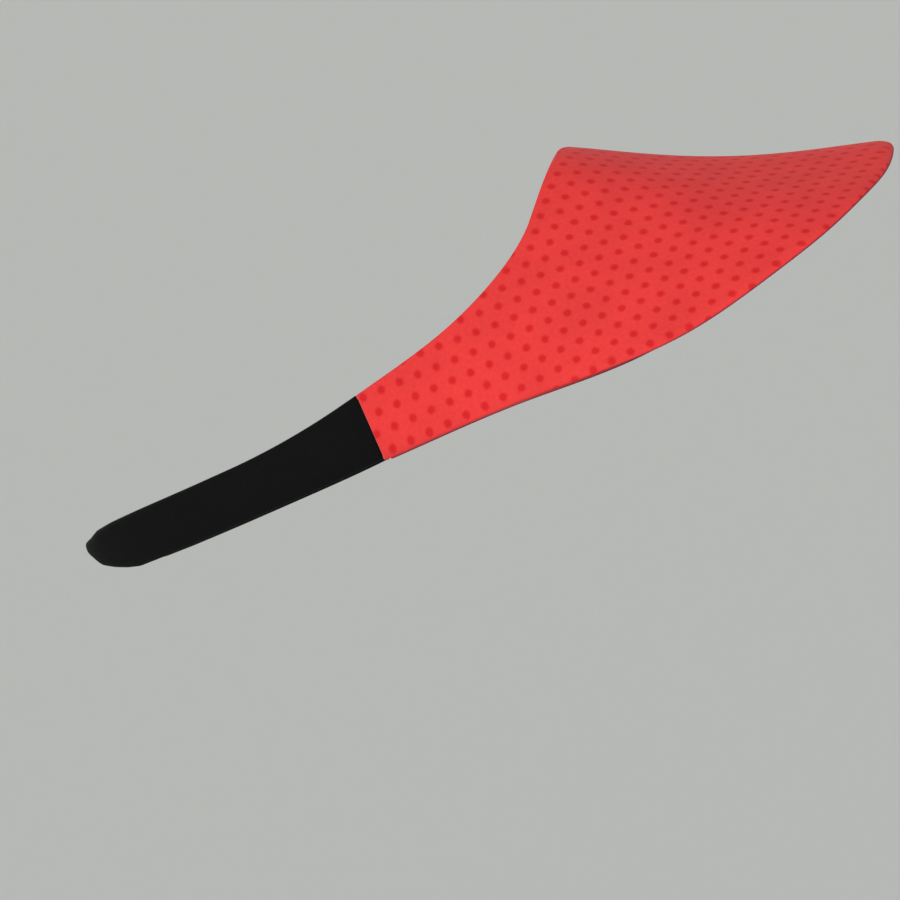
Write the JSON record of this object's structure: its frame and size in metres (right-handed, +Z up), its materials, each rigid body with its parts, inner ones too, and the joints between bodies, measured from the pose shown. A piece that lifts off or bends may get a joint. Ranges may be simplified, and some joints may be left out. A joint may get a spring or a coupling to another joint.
{
  "type": "clip-on sun visor",
  "caption": "Headband-free sun visor: an arched fabric-covered crescent brim with two sprung black arms that grip the back of the head.",
  "frame": {"origin": "centre of the head opening, in the plane of the arms and midway between them, with the visor in its worn pose", "axes": "+X forward out of the brim, +Y to the wearer's left, +Z up on the worn visor"},
  "size_m": [0.2478, 0.1594, 0.1325],
  "materials": {
    "dotted_cover": "matte printed woven cloth",
    "lining": "matte woven cloth",
    "sleeve": "matte brushed cloth",
    "foam": "open-cell foam",
    "board": "foamed sheet",
    "spring": "satin",
    "cap": "dipped vinyl",
    "casing": "woven tape",
    "red_thread": "sewing thread",
    "black_thread": "sewing thread"
  },
  "bodies": {
    "brim": {"brim_core": "board", "brim_cover": "dotted_cover", "brim_lining": "lining", "headline_seam_cord": "red_thread", "left_cuff_stitching": "red_thread", "left_spring_casing": "casing", "left_spring_root": "spring", "right_cuff_stitching": "red_thread", "right_spring_casing": "casing", "right_spring_root": "spring", "rim_seam_cord": "red_thread", "sweatband_cover": "lining", "sweatband_foam": "foam", "sweatband_stitching": "red_thread"},
    "left_arm": {"left_arm_outer_pad": "foam", "left_arm_inner_pad": "foam", "left_arm_spring": "spring", "left_spring_cap": "cap", "left_arm_sleeve": "sleeve", "left_sleeve_seam": "black_thread"},
    "right_arm": {"right_arm_outer_pad": "foam", "right_arm_inner_pad": "foam", "right_arm_spring": "spring", "right_spring_cap": "cap", "right_arm_sleeve": "sleeve", "right_sleeve_seam": "black_thread"}
  },
  "joints": [
    {"name": "left_arm_flex", "type": "hinge", "parent": "brim", "child": "left_arm", "pos_m": [0.02147, 0.07412, 0.01153], "axis": [0.4067, 0, -0.9135], "range_deg": [-12, 22], "stiffness_Nm_per_rad": 0.4},
    {"name": "right_arm_flex", "type": "hinge", "parent": "brim", "child": "right_arm", "pos_m": [0.02147, -0.07412, 0.01153], "axis": [-0.4067, 0, 0.9135], "range_deg": [-12, 22], "stiffness_Nm_per_rad": 0.4}
  ]
}
